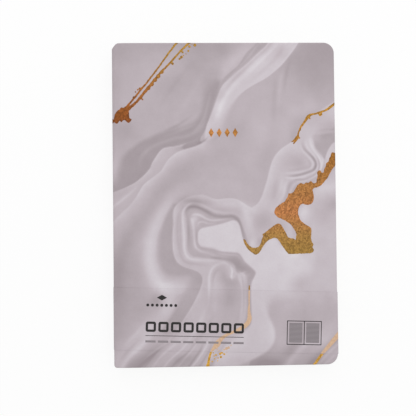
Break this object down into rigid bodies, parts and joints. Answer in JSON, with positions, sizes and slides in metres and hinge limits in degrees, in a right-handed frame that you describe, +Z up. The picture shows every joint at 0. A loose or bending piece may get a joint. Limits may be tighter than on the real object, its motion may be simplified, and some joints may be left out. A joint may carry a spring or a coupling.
{
  "type": "planner",
  "caption": "Closed A5 planner with a flexible wrapped cover, round fore-edge corners, foil veins over marbling and a paper band tucked round both covers.",
  "frame": {"origin": "on the surface it lies on, under the middle of the back cover", "axes": "+X from the spine to the fore-edge, +Y from tail to head, +Z up through the front cover"},
  "size_m": [0.1456, 0.21, 0.0157],
  "materials": {
    "page_paper": "matte",
    "endpaper": "matte",
    "lining_cloth": "matte",
    "bead_cloth": "satin",
    "cover_skin": "satin",
    "board": "matte",
    "foil": "satin",
    "pale_ink": "satin",
    "dark_ink": "satin",
    "band_paper": "satin",
    "gold_ink": "satin",
    "black_ink": "matte"
  },
  "bodies": {
    "text_block": {"page_block": "page_paper", "front_flyleaf": "endpaper", "back_flyleaf": "endpaper", "spine_lining": "lining_cloth", "head_band": "bead_cloth", "tail_band": "bead_cloth", "spine_skin": "cover_skin", "spine_board": "board", "band_spine": "band_paper"},
    "front_cover": {"front_skin": "cover_skin", "front_board": "board", "front_pastedown": "endpaper", "cover_foil": "foil", "pale_marbling": "pale_ink", "dark_marbling": "dark_ink", "band_front": "band_paper", "band_veins": "gold_ink", "band_marks": "black_ink"},
    "back_cover": {"back_skin": "cover_skin", "back_board": "board", "back_pastedown": "endpaper", "band_back": "band_paper"}
  },
  "joints": [
    {"name": "front_cover_hinge", "type": "hinge", "parent": "text_block", "child": "front_cover", "pos_m": [-0.07286, 0, 0.01313], "axis": [0, -1, 0], "range_deg": [0, 178]},
    {"name": "back_cover_hinge", "type": "hinge", "parent": "text_block", "child": "back_cover", "pos_m": [-0.07286, 0, 0.00255], "axis": [0, 1, 0], "range_deg": [0, 178]}
  ]
}
